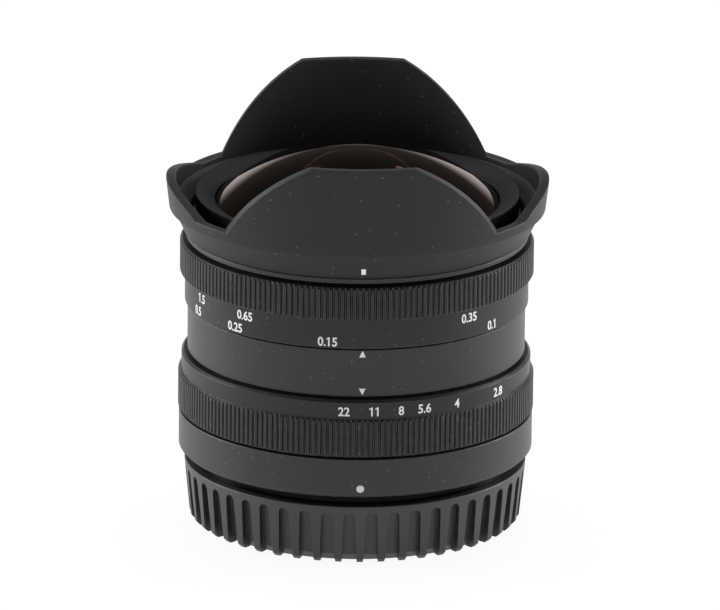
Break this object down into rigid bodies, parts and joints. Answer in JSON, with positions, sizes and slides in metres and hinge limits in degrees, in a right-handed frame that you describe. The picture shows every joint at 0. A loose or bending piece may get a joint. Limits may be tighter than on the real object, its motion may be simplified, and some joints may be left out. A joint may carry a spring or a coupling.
{
  "type": "fisheye lens",
  "caption": "Manual-focus fisheye camera lens with a domed front glass, petal hood, ridged focus and aperture rings, numbered scales and a ribbed rear cap.",
  "frame": {"origin": "on the optical axis, in the plane that the foot of the rear cap stands on", "axes": "+Z along the optical axis towards the front lens; -Y towards the index line of the barrel; the long petals of the hood stand at +Y and -Y"},
  "size_m": [0.0644, 0.067, 0.0705],
  "materials": {
    "barrel_black": "satin black anodised metal",
    "grip_black": "satin black anodised metal, finely ridged",
    "hood_black": "fine matte black paint",
    "inner_black": "matte black inner finish",
    "cap_plastic": "moulded black plastic, satin",
    "mount_metal": "hard bright plating, finely turned",
    "screw_steel": "dark steel",
    "spring_steel": "bright steel",
    "helicoid_brass": "turned brass",
    "blade_steel": "blackened spring steel",
    "index_white": "white enamel",
    "front_glass": "coated glass",
    "inner_glass": "coated glass"
  },
  "bodies": {
    "barrel": {"main_barrel": "barrel_black", "rear_barrel": "barrel_black", "index_bead": "index_white", "bayonet_mount": "mount_metal", "mount_screws": "screw_steel", "barrel_screws": "screw_steel", "rear_baffle": "inner_black", "baffle_screws": "screw_steel", "front_collar": "barrel_black", "helicoid_retainer": "helicoid_brass", "guide_keys": "helicoid_brass", "guide_key_screws": "screw_steel", "click_spring": "spring_steel"},
    "focus": {"focus_ring": "grip_black", "focus_key": "helicoid_brass", "focus_key_screws": "screw_steel", "helicoid_ring": "helicoid_brass"},
    "optics": {"optics_barrel": "inner_black", "front_retaining_ring": "inner_black", "second_lens_ring": "inner_black", "front_spacer": "inner_black", "middle_spacer": "inner_black", "rear_lens_cell": "inner_black", "sixth_lens_ring": "inner_black", "rear_spacer": "inner_black", "rear_retaining_ring": "inner_black", "front_dome_lens": "front_glass", "second_lens": "inner_glass", "third_lens": "inner_glass", "fourth_lens": "inner_glass", "fifth_lens": "inner_glass", "sixth_lens": "inner_glass", "seventh_lens": "inner_glass", "eighth_lens": "inner_glass", "ninth_lens": "inner_glass", "tenth_lens": "inner_glass", "iris_base_plate": "inner_black", "iris_clip": "spring_steel"},
    "iris_drive": {"iris_drive_ring": "inner_black"},
    "aperture": {"aperture_ring": "grip_black", "aperture_key": "helicoid_brass", "aperture_key_screws": "screw_steel"},
    "click": {"click_ball": "spring_steel"},
    "hood": {"lens_hood": "hood_black"},
    "cap": {"rear_cap": "cap_plastic"},
    "blade_1": {"iris_blade_1": "blade_steel"},
    "blade_2": {"iris_blade_2": "blade_steel"},
    "blade_3": {"iris_blade_3": "blade_steel"},
    "blade_4": {"iris_blade_4": "blade_steel"},
    "blade_5": {"iris_blade_5": "blade_steel"},
    "blade_6": {"iris_blade_6": "blade_steel"},
    "blade_7": {"iris_blade_7": "blade_steel"}
  },
  "joints": [
    {"name": "focus_turn", "type": "hinge", "parent": "barrel", "child": "focus", "pos_m": [0, 0, 0.0433], "axis": [0, 0, 1], "range_deg": [-50.4, 90]},
    {"name": "optics_slide", "type": "slide", "parent": "barrel", "child": "optics", "axis": [0, 0, 1], "range_m": [-0.00066, 0.00037]},
    {"name": "aperture_turn", "type": "hinge", "parent": "barrel", "child": "aperture", "pos_m": [0, 0, 0.0238], "axis": [0, 0, 1], "range_deg": [-52.3, 5.5]},
    {"name": "iris_drive_turn", "type": "hinge", "parent": "optics", "child": "iris_drive", "pos_m": [0, 0, 0.0265], "axis": [0, 0, 1], "range_deg": [-52.4, 5.6]},
    {"name": "blade_1_swing", "type": "hinge", "parent": "optics", "child": "blade_1", "pos_m": [0.0103, 0, 0.0278], "axis": [0, 0, 1], "range_deg": [-18.4, 2]},
    {"name": "blade_2_swing", "type": "hinge", "parent": "optics", "child": "blade_2", "pos_m": [0.00642, 0.00805, 0.0278], "axis": [0, 0, 1], "range_deg": [-18.4, 2]},
    {"name": "blade_3_swing", "type": "hinge", "parent": "optics", "child": "blade_3", "pos_m": [-0.00229, 0.01004, 0.0278], "axis": [0, 0, 1], "range_deg": [-18.4, 2]},
    {"name": "blade_4_swing", "type": "hinge", "parent": "optics", "child": "blade_4", "pos_m": [-0.00928, 0.00447, 0.0278], "axis": [0, 0, 1], "range_deg": [-18.4, 2]},
    {"name": "blade_5_swing", "type": "hinge", "parent": "optics", "child": "blade_5", "pos_m": [-0.00928, -0.00447, 0.0278], "axis": [0, 0, 1], "range_deg": [-18.4, 2]},
    {"name": "blade_6_swing", "type": "hinge", "parent": "optics", "child": "blade_6", "pos_m": [-0.00229, -0.01004, 0.0278], "axis": [0, 0, 1], "range_deg": [-18.4, 2]},
    {"name": "blade_7_swing", "type": "hinge", "parent": "optics", "child": "blade_7", "pos_m": [0.00642, -0.00805, 0.0278], "axis": [0, 0, 1], "range_deg": [-18.4, 2]},
    {"name": "click_ball_travel", "type": "slide", "parent": "barrel", "child": "click", "axis": [-0.7071, -0.7071, 0], "range_m": [0, 0.00025], "stiffness_N_per_m": 5},
    {"name": "hood_twist", "type": "hinge", "parent": "barrel", "child": "hood", "pos_m": [0, 0, 0.0503], "axis": [0, 0, 1], "range_deg": [0, 45]},
    {"name": "cap_twist", "type": "hinge", "parent": "barrel", "child": "cap", "pos_m": [0, 0, 0.005], "axis": [0, 0, 1], "range_deg": [0, 60]}
  ],
  "couplings": [
    {"joint": "optics_slide", "follows": "focus_turn", "m_per_rad": -0.00042017},
    {"joint": "iris_drive_turn", "follows": "aperture_turn", "ratio": 1},
    {"joint": "blade_1_swing", "follows": "aperture_turn", "ratio": 0.35},
    {"joint": "blade_2_swing", "follows": "aperture_turn", "ratio": 0.35},
    {"joint": "blade_3_swing", "follows": "aperture_turn", "ratio": 0.35},
    {"joint": "blade_4_swing", "follows": "aperture_turn", "ratio": 0.35},
    {"joint": "blade_5_swing", "follows": "aperture_turn", "ratio": 0.35},
    {"joint": "blade_6_swing", "follows": "aperture_turn", "ratio": 0.35},
    {"joint": "blade_7_swing", "follows": "aperture_turn", "ratio": 0.35}
  ]
}
